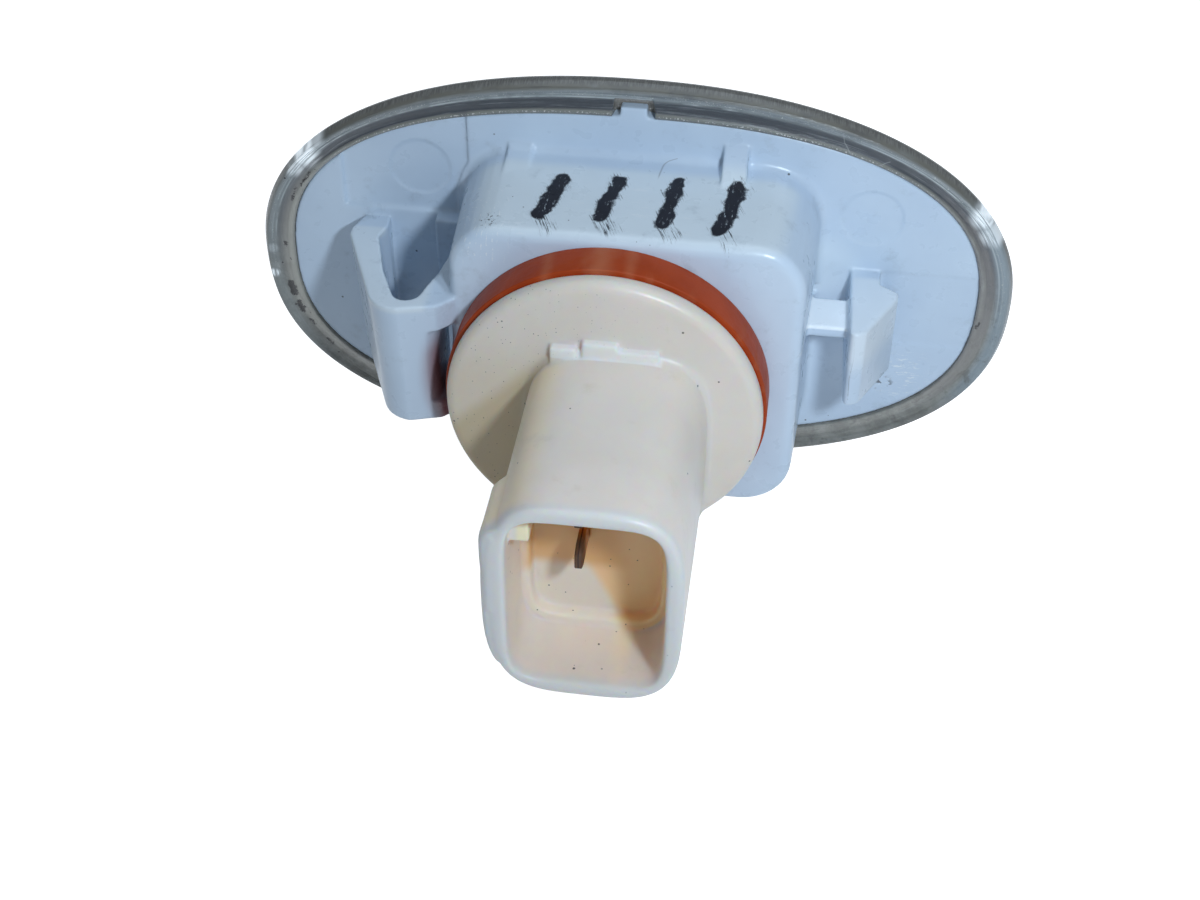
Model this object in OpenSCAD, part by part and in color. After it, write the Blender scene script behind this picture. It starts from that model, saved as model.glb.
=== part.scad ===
// Side repeater lamp: an oval clear lens welded to a white housing, with a twist-lock bulb holder behind.
// +Y points out of the car through the lens, +Z is up, and the lens rim's rear face lies in the plane Y = 0.
// Depths are measured behind that plane, towards the connector, and are positive numbers.

/* [Lens] */
// Overall length of the lens
lens_length = 70.5; // [67:0.1:78]
// Overall height of the lens
lens_height = 40.8; // [39.8:0.1:46]
// Squareness of the oval outline's upper half, where 2 is a true ellipse
upper_power = 2.22; // [2.1:0.01:2.6]
// Squareness of the oval outline's lower half
lower_power = 2.34; // [2.1:0.01:2.6]
// Squareness of the opening that the housing closes
plate_power = 2.45; // [2.2:0.01:2.7]
// Distance from the rim's rear face forward to the widest outline
lens_edge_rise = 1; // [0.6:0.1:1.6]
// How far the rim's rear face is set in from the widest outline
lens_edge_inset = 0.3; // [0.1:0.1:0.8]
// Width of the rim face that seats on the body panel
rim_width = 2.7; // [1.9:0.1:3.2]
// Height of the dome in front of the widest outline
dome_rise = 6.2; // [5.6:0.1:9]
// Roundness of the dome's shoulder, where 2 is a true ellipse
dome_power = 2.05; // [2:0.05:2.4]
// Wall at the middle of the dome
lens_wall = 2; // [1.6:0.1:2.4]
// Width of the ledge that the housing plate is welded to
weld_ledge = 1.1; // [0.6:0.1:1.6]
// Width of the key notch in the top of the rim
notch_width = 3.6; // [3:0.1:5]
// Depth of the key notch
notch_depth = 1.4; // [0.8:0.1:1.8]
// Sideways place of the key notch
notch_x = 0; // [-1:0.1:1]

/* [Housing] */
// Thickness of the back plate
plate_thickness = 2; // [1.6:0.1:2.4]
// How far the plate lies in front of the rim's rear face
plate_recess = 0.2; // [0.1:0.05:0.4]
// Width of the bulb box at its rear
box_width = 31.2; // [30:0.1:33]
// Height of the bulb box at its rear
box_height = 28.2; // [27.4:0.1:29]
// Depth of the bulb box behind the rim
box_depth = 12; // [10:0.1:14]
// Sideways place of the bulb box
box_x = 0.9; // [0.2:0.1:1.6]
// Upright place of the bulb box
box_z = -1.5; // [-1.8:0.1:-0.8]
// Corner radius of the bulb box
box_corner = 4.6; // [3.6:0.1:6]
// Wall of the bulb box
box_wall = 1.9; // [1.5:0.1:2.2]
// Rounding of the bulb box's rear edge
box_edge = 1; // [0.6:0.1:1.4]
// Growth of each side of the box from its rear to the plate
box_draft = 0.6; // [0.2:0.1:1]
// Fillet where the box meets the plate
box_fillet = 0.8; // [0.4:0.1:1.2]

/* [Panel clip and catch] */
// Distance behind the rim where the clip and the catch grip the panel
grip_depth = 2.2; // [1.8:0.1:3]
// Distance from the box to the clip's nose
clip_reach = 11; // [10:0.1:12]
// Depth of the clip's bend behind the rim
clip_depth = 14.3; // [13.6:0.1:15]
// Top of the clip
clip_top = 5.1; // [4:0.1:6]
// Height of the clip
clip_height = 12.6; // [11:0.1:14]
// Thickness of the clip's free leg
clip_leg = 2.5; // [2.2:0.1:2.8]
// Thickness of the clip's bend
clip_bend = 1.5; // [1.2:0.1:2]
// Distance from the box to the catch
catch_gap = 3.8; // [3:0.1:4.6]
// Thickness of the catch's stem
catch_stem = 2.7; // [2.2:0.1:3.2]
// How far the catch's barb stands out from its stem
catch_barb = 1.65; // [1.2:0.05:2]
// Depth of the catch behind the rim
catch_depth = 9.9; // [9:0.1:11]
// Top of the catch
catch_top = 3.3; // [2.5:0.1:4]
// Height of the catch
catch_height = 8; // [7:0.1:9]
// Thickness of the web between the box and the catch
web_thickness = 0.7; // [0.5:0.1:1.2]

/* [Bulb holder] */
// Sideways place of the bulb axis from the middle of the box
holder_x = -1.2; // [-1.4:0.1:0]
// Upright place of the bulb axis from the middle of the box
holder_z = -1; // [-1.5:0.1:0]
// Diameter of the holder's flange
flange_d = 28; // [27:0.1:28.4]
// Thickness of the holder's flange
flange_thickness = 1.8; // [1.4:0.1:2.4]
// Diameter of the sealing gasket
gasket_d = 29; // [28.4:0.1:29.4]
// Thickness of the gasket
gasket_thickness = 3.4; // [2.8:0.1:4]
// Diameter of the neck that enters the lamp
neck_d = 17.2; // [16.6:0.1:17.6]
// Running clearance of the neck in its hole
neck_clearance = 0.08; // [0.05:0.01:0.1]
// How far the neck stands inside the box
neck_reach = 2.6; // [2.2:0.1:3.4]
// How far the bayonet lugs stand out from the neck
lug_height = 1.2; // [0.9:0.1:1.3]
// Thickness of the bayonet lugs
lug_thickness = 1.5; // [1.2:0.1:1.8]
// Angle that each bayonet lug spans
lug_angle = 24; // [20:1:28]
// Turn from locked to free
unlock_angle = 45; // [40:1:50]

/* [Connector shroud] */
// Width of the shroud
shroud_width = 15.9; // [15.4:0.1:16.6]
// Height of the shroud
shroud_height = 20.7; // [20.2:0.1:21.4]
// Length of the shroud behind the flange
shroud_length = 20.4; // [19:0.1:24]
// Wall of the shroud
shroud_wall = 1.5; // [1.2:0.1:1.8]
// Squareness of the shroud's outline
shroud_power = 3.7; // [3:0.1:5]
// Squareness of the socket inside the shroud
socket_power = 4.6; // [3.6:0.1:5]
// Sideways place of the shroud from the bulb axis
shroud_x = 1.3; // [1:0.05:1.6]
// Upright place of the shroud from the bulb axis
shroud_z = -3.4; // [-3.6:0.1:-3]
// Depth of the socket up to its ledge
socket_depth = 6.9; // [6.4:0.1:7.8]
// Depth of the floor below the ledge
floor_depth = 1.3; // [0.8:0.1:2]
// Width of the ledge round the floor
ledge_width = 0.9; // [0.7:0.1:1.4]

/* [Terminals] */
// Width of each blade
blade_width = 2.3; // [2:0.1:2.8]
// Thickness of each blade
blade_thickness = 0.64; // [0.5:0.02:0.8]
// Distance between the two blades
blade_pitch = 4.5; // [4:0.1:5]
// Length of the blades from the socket's floor
blade_length = 4.3; // [3.8:0.1:5.4]

/* [Bulb] */
// Diameter of the bulb
bulb_d = 10; // [9.6:0.1:10.4]
// Length of the bulb
bulb_length = 26.8; // [26:0.1:27.4]
// Thickness of the bulb's pinched base
pinch_thickness = 2.1; // [1.9:0.1:2.4]
// Width of the bulb's pinched base
pinch_width = 9.2; // [8.6:0.1:9.4]
// Depth of the bulb's base behind the rim
bulb_seat = 24.6; // [24:0.1:25]

/* [Hidden] */
$fn = 64;
eps = 0.01;
weld_clearance = 0.08;
slide_clearance = 0.03;

oval_points = 96;
corner_steps = 8;
dome_rings = 10;

half_length = lens_length / 2;
half_height = lens_height / 2;
rim_half_length = half_length - lens_edge_inset;
rim_half_height = half_height - lens_edge_inset;
plate_half_length = rim_half_length - rim_width;
plate_half_height = rim_half_height - rim_width;
plate_front = plate_recess + plate_thickness;
lens_front = lens_edge_rise + dome_rise;

box_left = box_x - box_width / 2;
box_right = box_x + box_width / 2;
box_top = box_z + box_height / 2;
wall_front = box_depth - box_wall;
axis_x = box_x + holder_x;
axis_z = box_z + holder_z;

gasket_front = box_depth + slide_clearance;
flange_front = gasket_front + gasket_thickness;
flange_rear = flange_front + flange_thickness;
neck_front = wall_front - neck_reach;
neck_r = neck_d / 2;
lug_r = neck_r + lug_height;
lug_rear = wall_front - slide_clearance;
lug_count = 3;

mouth = flange_rear + shroud_length;
ledge = mouth - socket_depth;
socket_floor = ledge - floor_depth;
shroud_mid_x = axis_x + shroud_x;
shroud_mid_z = axis_z + shroud_z;

blade_x = 0.25;
blade_mid_z = 0.35;
blade_tip = socket_floor + blade_length;
contact_rear = bulb_seat + 1.6;
lead_r = 0.25;
lead_x = 1.7;

// Point lists

function side(v) = v < 0 ? -1 : 1;

// A superellipse centred on (cx, cz), whose lower half may be squarer than the upper
function oval(half_l, half_h, power, cx = 0, cz = 0, lower = 0) = [
    for (i = [0 : oval_points - 1])
        let (c = cos(360 * i / oval_points), s = sin(360 * i / oval_points))
        let (share = 2 / (s < 0 && lower > 0 ? lower : power))
        [cx + half_l * side(c) * pow(abs(c), share), cz + half_h * side(s) * pow(abs(s), share)]
];

// The lens outline, set in evenly or scaled down by k
function lens_oval(inset, k = 1) = oval((half_length - inset) * k, (half_height - inset) * k,
    upper_power, 0, 0, lower_power);

// An arc from angle a0 to angle a1
function arc(cx, cy, r, a0, a1, steps = corner_steps) = [
    for (i = [0 : steps])
        let (a = a0 + (a1 - a0) * i / steps)
        [cx + r * cos(a), cy + r * sin(a)]
];

// A rectangle with round corners
function round_rect(w, h, r, cx = 0, cz = 0) = concat(
    arc(cx + w / 2 - r, cz + h / 2 - r, r, 0, 90),
    arc(cx - w / 2 + r, cz + h / 2 - r, r, 90, 180),
    arc(cx - w / 2 + r, cz - h / 2 + r, r, 180, 270),
    arc(cx + w / 2 - r, cz - h / 2 + r, r, 270, 360)
);

// An outline in the XZ plane, placed at a depth behind the rim
function ring(depth, outline) = [for (p = outline) [p[0], -depth, p[1]]];

// Helpers

// Skin over rings with the same number of points, given from the rear to the front
module loft(rings) {
    n = len(rings[0]);
    last = len(rings) - 1;
    points = [for (r = rings) each r];
    skin = [
        for (k = [0 : last - 1], i = [0 : n - 1])
            let (a = k * n + i, b = k * n + (i + 1) % n)
            each [[a, b + n, a + n], [a, b, b + n]]
    ];
    rear_cap = [for (i = [n - 1 : -1 : 0]) i];
    front_cap = [for (i = [0 : n - 1]) last * n + i];
    polyhedron(points, concat(skin, [rear_cap, front_cap]));
}

// Extrude an XZ outline between two depths
module slab(front, rear) {
    translate([0, -front, 0])
        rotate([90, 0, 0])
            linear_extrude(rear - front)
                children();
}

// Extrude a top-view outline, given as X and depth, between two heights
module upright(top, height) {
    translate([0, 0, top - height])
        linear_extrude(height)
            mirror([0, 1])
                children();
}

// Revolve a profile, given as radius and depth, about the bulb axis
module on_axis() {
    translate([axis_x, 0, axis_z])
        rotate([90, 0, 0])
            children();
}

// A block between two corners given as X, depth and Z
module block(a, b) {
    translate([a[0], -b[1], a[2]])
        cube([b[0] - a[0], b[1] - a[1], b[2] - a[2]]);
}

// Sectors of a ring about the bulb axis, evenly spaced
module sectors(r, span, front, rear, turn) {
    on_axis()
        translate([0, 0, front])
            linear_extrude(rear - front)
                for (i = [0 : lug_count - 1])
                    polygon(concat([[0, 0]], arc(0, 0, r,
                        turn + 360 * i / lug_count - span / 2, turn + 360 * i / lug_count + span / 2)));
}

// Lens

function dome_k(a) = pow(cos(a), 2 / dome_power);
function dome_h(a) = pow(sin(a), 2 / dome_power);
dome_angles = [for (i = [0 : dome_rings]) 86 * i / dome_rings];

module lens_outside() {
    flare = [for (i = [0 : 3])
        let (t = i / 3, inset = lens_edge_inset * (1 - pow(t, 0.6)))
        ring(-lens_edge_rise * t, lens_oval(inset))];
    crown = [for (a = dome_angles) ring(-lens_edge_rise - dome_rise * dome_h(a), lens_oval(0, dome_k(a)))];
    loft(concat(flare, [for (i = [1 : dome_rings]) crown[i]]));
}

module lens_inside() {
    half_l = plate_half_length - weld_ledge;
    half_h = plate_half_height - weld_ledge;
    rise = lens_front - lens_wall - plate_front;
    loft([for (a = dome_angles)
        ring(-plate_front - rise * dome_h(a), oval(half_l * dome_k(a), half_h * dome_k(a), plate_power))]);
}

module lens() {
    color([0.8, 0.84, 0.86, 0.5])
        difference() {
            lens_outside();
            lens_inside();
            slab(-plate_front - eps, eps)
                polygon(oval(plate_half_length, plate_half_height, plate_power));
            block([notch_x - notch_width / 2, -notch_depth, 0],
                [notch_x + notch_width / 2, 1, half_height]);
        }
}

// Housing

key_width = notch_width - 1.2;
key_top = plate_half_height + rim_width * 0.3;
plate_length_clear = plate_half_length - weld_clearance;
plate_height_clear = plate_half_height - weld_clearance;

// Shallow marks that the mould leaves in the plate's rear face
pocket_left = -26.8;
pocket_right = box_left - 0.3;
pocket_bottom = clip_top + 0.8;
pocket_depth = 0.35;
mark_depth = 0.1;
ejector_r = 2.85;
ejector_places = [[-19.55, 10.4, pocket_depth], [21.7, 8.8, 0]];

module plate_marks() {
    rear = -plate_recess;
    block([pocket_left, rear - pocket_depth, pocket_bottom], [pocket_right, 1, half_height]);
    for (p = ejector_places)
        translate([p[0], plate_recess + p[2] + mark_depth, p[1]])
            rotate([90, 0, 0])
                cylinder(r = ejector_r, h = 1);
    block([box_right + catch_gap + catch_stem, rear - mark_depth, catch_top - catch_height],
        [half_length, 1, catch_top]);
}

module plate() {
    difference() {
        slab(-plate_front, -plate_recess)
            polygon(oval(plate_length_clear, plate_height_clear, plate_power));
        plate_marks();
    }
    block([notch_x - key_width / 2, -plate_recess - notch_depth + slide_clearance + 0.2, 0],
        [notch_x + key_width / 2, -plate_recess, key_top]);
}

// One ring of the bulb box, grown or shrunk evenly
function box_ring(depth, grow) = ring(depth,
    round_rect(box_width + 2 * grow, box_height + 2 * grow, box_corner + grow, box_x, box_z));

module box_outside() {
    steps = 4;
    edge = [for (i = [0 : steps])
        let (a = 90 * i / steps)
        box_ring(box_depth - box_edge * (1 - cos(a)), -box_edge * (1 - sin(a)))];
    root = [for (i = [0 : steps])
        let (a = 90 * i / steps)
        box_ring(box_fillet * (1 - sin(a)) - plate_recess, box_draft + box_fillet * (1 - cos(a)))];
    loft(concat(edge, root, [box_ring(-plate_recess - plate_thickness / 2, box_draft + box_fillet)]));
}

module box_inside() {
    loft([box_ring(wall_front, -box_wall), box_ring(-plate_front - eps, box_draft - box_wall)]);
}

// Hook-shaped spring clip that holds the panel on the left
clip_mid_x = box_left - 3.9;
nose_out = box_left - clip_reach;
nose_flat = 1;
tip_inset = 0.7;

module clip_profile() {
    bend_r = clip_leg + 0.7;
    inner_r = bend_r - clip_bend - 0.4;
    polygon(concat(
        [
            [nose_out + tip_inset, 0.1],
            [nose_out, grip_depth],
            [nose_out, grip_depth + nose_flat]
        ],
        arc(clip_mid_x - 0.35, clip_depth - bend_r, bend_r, 155, 90),
        [
            [box_left - 0.8, clip_depth - 0.9],
            [box_left + 1, box_depth - 0.4],
            [box_left + 1, 7],
            [box_left - 0.5, 7.1],
            [box_left - 1.4, 7.7],
            [box_left - 1.8, 8.8],
            [box_left - 2.3, 10.5]
        ],
        arc(clip_mid_x + 0.05, clip_depth - clip_bend - inner_r, inner_r, 15, 155),
        [
            [nose_out + clip_leg + 1.85, 8.5],
            [nose_out + clip_leg + 0.25, grip_depth + nose_flat],
            [nose_out + clip_leg + 0.75, grip_depth - 0.7],
            [nose_out + clip_leg + 0.65, 0.1]
        ]
    ));
}

module clip() {
    window_top = clip_top - 2.8;
    window_bottom = clip_top - clip_height + 2;
    corner_r = clip_depth - box_depth;
    difference() {
        upright(clip_top, clip_height)
            clip_profile();
        upright(window_top, window_top - window_bottom)
            polygon(concat(
                [[box_left + 2, 4], [clip_mid_x + 0.5 + corner_r, 4]],
                arc(clip_mid_x + 0.5, box_depth, corner_r, 0, 90),
                [[clip_mid_x + 0.5, clip_depth + 1], [box_left + 2, clip_depth + 1]]
            ));
    }
    clip_gusset();
    block([box_left - 3.6, -plate_recess - eps, clip_top - clip_height],
        [box_left + 1, grip_depth - 0.2, clip_top]);
}

// Small gusset between the top of the clip and the side of the box
module clip_gusset() {
    foot = [[box_left - 1.8, -9.5], [box_left + 0.2, 0.1 - box_depth], [box_left + 0.5, -7.8]];
    head = [[box_left - 0.1, -8.6], [box_left + 0.2, -9.2], [box_left + 0.5, -8.2]];
    loft([
        [for (p = head) [p[0], p[1], clip_top + 3]],
        [for (p = foot) [p[0], p[1], clip_top]],
        [for (p = foot) [p[0] + 0.2, p[1], clip_top - 0.5]]
    ]);
}

// Barbed catch that holds the panel on the right, with its web
catch_x = box_right + catch_gap;

module catch() {
    end_width = 0.65;
    barb_x = catch_x + catch_stem + catch_barb;
    upright(catch_top, catch_height)
        polygon(concat(
            [
                [catch_x, -plate_recess - eps],
                [catch_x + catch_stem, -plate_recess - eps],
                [catch_x + catch_stem, grip_depth - 0.2],
                [barb_x, grip_depth],
                [barb_x, grip_depth + 1.8],
                [catch_x + 0.3 + end_width + 0.7, catch_depth - 0.45]
            ],
            arc(catch_x + 0.75, catch_depth - 0.5, 0.5, 60, 180, 4)
        ));
    block([box_right - 1, -plate_recess - eps, catch_top - 1.9 - web_thickness],
        [catch_x + 0.5, catch_depth - 2.8, catch_top - 1.9]);
}

// Sloped rib between the plate and the top of the box
module gusset(x, width, rise, depth) {
    translate([x + width / 2, 0, 0])
        rotate([0, -90, 0])
            linear_extrude(width)
                polygon([
                    [box_top - 1, plate_recess + eps],
                    [box_top + rise, plate_recess + eps],
                    [box_top + rise - 0.5, -0.6],
                    [box_top - 0.1, -depth],
                    [box_top - 1, -depth]
                ]);
}

// What the lens rim takes up round the plate
module rim_room() {
    slab(-plate_front - eps, slide_clearance)
        difference() {
            square([2 * lens_length, 2 * lens_height], center = true);
            polygon(oval(plate_length_clear, plate_height_clear, plate_power));
        }
}

// Round seat behind the gasket, which reaches past the bottom of the box
module gasket_seat() {
    on_axis()
        translate([0, 0, wall_front])
            cylinder(r = gasket_d / 2, h = box_wall);
}

// Posts inside the rear wall that stop the lugs when the holder is locked
module lug_stops() {
    turn = 90 - lug_angle / 2 - 3.2;
    intersection() {
        sectors(lug_r + 0.3, 5, lug_rear - lug_thickness, wall_front + 0.5, turn);
        difference() {
            on_axis()
                cylinder(r = lug_r + 0.3, h = box_depth);
            on_axis()
                cylinder(r = neck_r + 0.4, h = box_depth);
        }
    }
}

module holder_hole() {
    on_axis()
        translate([0, 0, wall_front - 1])
            cylinder(r = neck_r + neck_clearance, h = box_wall + 2);
    sectors(lug_r + 0.25, lug_angle + 4, wall_front - 1, box_depth + 1, 90 + unlock_angle);
}

module housing() {
    color([0.86, 0.9, 0.96]) {
        difference() {
            union() {
                plate();
                difference() {
                    box_outside();
                    rim_room();
                }
                clip();
                catch();
                gusset(box_x + 8.3, 2.2, 2.8, 4.2);
                gusset(box_x - 11, 2.2, 1.4, 6);
                gasket_seat();
            }
            box_inside();
            holder_hole();
        }
        lug_stops();
    }
}

// Holder gasket

module holder_gasket() {
    r = gasket_d / 2;
    rear = gasket_front + gasket_thickness;
    color([0.78, 0.3, 0.13])
        on_axis()
            rotate_extrude()
                polygon(concat(
                    [[neck_r + 0.2, gasket_front]],
                    arc(r - 0.4, gasket_front + 0.4, 0.4, -90, 0, 4),
                    arc(r - 0.4, rear - 0.4, 0.4, 0, 90, 4),
                    [[neck_r + 0.2, rear]]
                ));
}

// Bulb holder

module holder_core() {
    r = flange_d / 2;
    edge_r = 0.9;
    on_axis()
        rotate_extrude()
            polygon(concat(
                [
                    [0, neck_front],
                    [neck_r - 0.6, neck_front],
                    [neck_r, neck_front + 0.6],
                    [neck_r, flange_front],
                    [r - 0.3, flange_front],
                    [r, flange_front + 0.3]
                ],
                arc(r - edge_r, flange_rear - edge_r, edge_r, 0, 90, 6),
                [[0, flange_rear]]
            ));
}

function shroud_ring(depth, grow) = ring(depth, oval(shroud_width / 2 + grow, shroud_height / 2 + grow,
    shroud_power, shroud_mid_x, shroud_mid_z));

module shroud_outside() {
    lip = 0.55;
    steps = 4;
    loft(concat(
        [for (i = [0 : steps])
            let (a = 90 * i / steps)
            shroud_ring(mouth - lip * (1 - cos(a)), -lip * (1 - sin(a)))],
        [shroud_ring(flange_rear + 0.5, 0), shroud_ring(flange_rear, 0.4), shroud_ring(flange_rear - 1, 0.4)]
    ));
}

function socket_ring(depth, grow) = ring(depth, oval(shroud_width / 2 - shroud_wall + grow,
    shroud_height / 2 - shroud_wall + grow, socket_power, shroud_mid_x, shroud_mid_z));

module socket() {
    lip = 0.35;
    edge_r = 0.5;
    loft([
        socket_ring(mouth + eps, lip),
        socket_ring(mouth - lip * 0.4, lip * 0.3),
        socket_ring(mouth - lip, 0),
        socket_ring(ledge, -0.1)
    ]);
    loft([
        socket_ring(ledge + eps, edge_r - ledge_width),
        socket_ring(ledge - edge_r * 0.3, edge_r * 0.3 - ledge_width),
        socket_ring(ledge - edge_r, -ledge_width),
        socket_ring(socket_floor, -ledge_width)
    ]);
}

// Raised pad along the shroud's left side, where the plug's latch rides
module latch_pad() {
    pad_height = 8.6;
    pad_length = 5.8;
    pad_mid_z = shroud_mid_z + 2.8;
    left = shroud_mid_x - shroud_width / 2;
    pad = 0.4;
    soft = 0.3;
    for (step = [0, soft])
        slab(mouth - pad_length, mouth - soft + step)
            polygon(round_rect(2 * (pad - step) + 1, pad_height - 2 * step, 0.5 - step / 2,
                left + 0.5, pad_mid_z));
}

// Guide rib inside the shroud that keys the plug
module guide_rib() {
    left = shroud_mid_x - shroud_width / 2 + shroud_wall;
    top = shroud_mid_z + shroud_height / 2 - shroud_wall;
    block([left - 0.4, ledge - 0.5, top - 5.2], [left + 1.1, mouth - 0.8, top - 2.9]);
    block([left - 0.4, ledge - 0.5, top - 7.5], [left + 1.9, ledge + 2, top - 2.9]);
}

// Three small pads on the flange, just above the shroud
module flange_pads() {
    top = shroud_mid_z + shroud_height / 2;
    pads = [[-4.5, -2.2, 0.7], [-1.75, 1.4, 1.4], [1.4, 4.8, 0.8]];
    for (p = pads)
        block([axis_x + p[0], flange_rear - 0.5, top - 2.4], [axis_x + p[1], flange_rear + 0.8, top + p[2]]);
}

module lugs() {
    difference() {
        sectors(lug_r, lug_angle, lug_rear - lug_thickness, lug_rear, 90);
        on_axis()
            cylinder(r = neck_r - 1, h = box_depth);
    }
}

// Room for the bulb's glass, its pinched base and the two contacts
module bulb_socket() {
    half_w = pinch_width / 2 + 0.35;
    half_t = pinch_thickness / 2 + 1.15;
    on_axis()
        translate([0, 0, neck_front - 1])
            cylinder(r = bulb_d / 2 + 0.3, h = glass_rear + 0.25 - neck_front + 1);
    block([axis_x - half_w, neck_front, axis_z - half_t],
        [axis_x + half_w, bulb_seat + 0.6, axis_z + half_t]);
}

module bulb_holder() {
    color([0.93, 0.9, 0.82])
        difference() {
            union() {
                holder_core();
                lugs();
                difference() {
                    union() {
                        shroud_outside();
                        latch_pad();
                    }
                    socket();
                }
                guide_rib();
                flange_pads();
            }
            bulb_socket();
            terminal(1);
            terminal(-1);
        }
}

// Terminals

// One terminal: a blade in the connector and a spring contact beside the bulb's base
module terminal(way) {
    contact_z = pinch_thickness / 2 + 2 * lead_r + slide_clearance;
    strip = 0.45;
    strip_width = 4.6;
    blade_z = blade_mid_z + way * blade_pitch / 2;
    contact_front = bulb_seat - 7.4;
    chamfer = 0.45;
    translate([axis_x + blade_x - blade_thickness / 2, 0, axis_z + blade_z])
        rotate([90, 0, 90])
            linear_extrude(blade_thickness)
                polygon([
                    [-contact_rear, blade_width / 2],
                    [-contact_rear, -blade_width / 2],
                    [-blade_tip + 2 * chamfer, -blade_width / 2],
                    [-blade_tip, -blade_width / 2 + chamfer],
                    [-blade_tip, blade_width / 2 - chamfer],
                    [-blade_tip + 2 * chamfer, blade_width / 2]
                ]);
    translate([axis_x - strip_width / 2, 0, axis_z])
        rotate([90, 0, 90])
            linear_extrude(strip_width)
                polygon([
                    [-contact_rear, way * contact_z],
                    [-contact_rear, way * (contact_z + 1.6)],
                    [-contact_rear + 0.5, way * (contact_z + 1.6)],
                    [-contact_rear + 0.5, way * (contact_z + 0.2 + strip)],
                    [-bulb_seat + 5, way * (contact_z + strip)],
                    [-contact_front, way * (contact_z + strip + 0.15)],
                    [-contact_front, way * (contact_z + 0.15)],
                    [-bulb_seat + 5, way * contact_z],
                    [-contact_rear + 0.5, way * (contact_z + 0.2)],
                    [-contact_rear + 0.5, way * contact_z]
                ]);
}

module terminal_upper() {
    color([0.72, 0.4, 0.2])
        terminal(1);
}

module terminal_lower() {
    color([0.72, 0.4, 0.2])
        terminal(-1);
}

// Bulb

glass_wall = 0.6;
glass_front = bulb_seat - bulb_length;
glass_rear = bulb_seat - 8;
crown_r = bulb_d / 2;

module glass_body(shrink, rear, rear_r) {
    r = crown_r - shrink;
    on_axis()
        rotate_extrude()
            polygon(concat(
                [[0, glass_front + shrink]],
                arc(0, glass_front + shrink + r, r, -85, 0, 12),
                arc(r - rear_r, rear - rear_r, rear_r, 0, 90, 6),
                [[0, rear]]
            ));
}

module bulb_glass() {
    color([0.95, 0.55, 0.12, 0.6])
        difference() {
            union() {
                glass_body(0, glass_rear, 1.6);
                block([axis_x - pinch_width / 2, glass_rear - 2, axis_z - pinch_thickness / 2],
                    [axis_x + pinch_width / 2, bulb_seat, axis_z + pinch_thickness / 2]);
            }
            glass_body(glass_wall, glass_rear - 2.2, 1.2);
            bulb_lead(-1);
            bulb_lead(1);
        }
}

filament_depth = glass_rear - 9.5;

module wire(from, to) {
    translate([axis_x + from[0], -from[1], axis_z + from[2]])
        rotate([from[1] == to[1] ? (to[2] > from[2] ? 0 : 180) : 90, 0, 0])
            cylinder(r = lead_r, h = abs(to[1] - from[1]) + abs(to[2] - from[2]), $fn = 24);
}

// A lead runs from the filament through the pinch and folds back along one face of it
module bulb_lead(way) {
    x = way * lead_x;
    fold = bulb_seat + lead_r;
    z = way * (pinch_thickness / 2 + lead_r);
    wire([x, filament_depth, 0], [x, fold, 0]);
    wire([x, fold, 0], [x, fold, z]);
    wire([x, fold - 5.5, z], [x, fold, z]);
    for (end = [0, z])
        translate([axis_x + x, -fold, axis_z + end])
            sphere(r = lead_r, $fn = 24);
}

module bulb_lead_left() {
    color([0.7, 0.7, 0.68])
        bulb_lead(-1);
}

module bulb_lead_right() {
    color([0.7, 0.7, 0.68])
        bulb_lead(1);
}

// The filament arches between the ends of the two leads
module bulb_filament() {
    coil_r = 0.2;
    color([0.55, 0.55, 0.58])
        on_axis()
            translate([0, 0, filament_depth])
                rotate([-90, 0, 0])
                    rotate_extrude(angle = 180)
                        translate([lead_x, 0])
                            circle(r = coil_r, $fn = 24);
}

lens();
housing();
holder_gasket();
bulb_holder();
terminal_upper();
terminal_lower();
bulb_glass();
bulb_filament();
bulb_lead_left();
bulb_lead_right();
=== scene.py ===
import math

import bmesh
import bpy
from mathutils import Matrix, Vector


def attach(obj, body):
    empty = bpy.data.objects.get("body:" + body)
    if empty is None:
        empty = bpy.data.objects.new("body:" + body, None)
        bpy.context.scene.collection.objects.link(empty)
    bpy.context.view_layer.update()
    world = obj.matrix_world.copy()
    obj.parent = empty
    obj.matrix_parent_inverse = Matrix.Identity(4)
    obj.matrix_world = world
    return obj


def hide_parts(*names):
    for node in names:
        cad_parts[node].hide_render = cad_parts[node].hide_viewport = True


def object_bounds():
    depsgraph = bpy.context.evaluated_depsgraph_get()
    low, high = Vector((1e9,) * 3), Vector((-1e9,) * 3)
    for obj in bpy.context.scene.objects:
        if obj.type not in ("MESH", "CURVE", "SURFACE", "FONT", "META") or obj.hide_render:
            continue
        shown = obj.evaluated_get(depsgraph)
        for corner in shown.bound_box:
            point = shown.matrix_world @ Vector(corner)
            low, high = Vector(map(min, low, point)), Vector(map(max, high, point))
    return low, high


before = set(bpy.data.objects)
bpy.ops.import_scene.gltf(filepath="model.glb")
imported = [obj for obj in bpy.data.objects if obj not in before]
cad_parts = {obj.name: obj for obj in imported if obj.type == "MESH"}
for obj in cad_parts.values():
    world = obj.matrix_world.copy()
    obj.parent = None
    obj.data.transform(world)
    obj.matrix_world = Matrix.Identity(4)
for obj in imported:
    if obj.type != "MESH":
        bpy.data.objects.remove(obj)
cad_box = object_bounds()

MM = 0.001

# Shader maths


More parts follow.
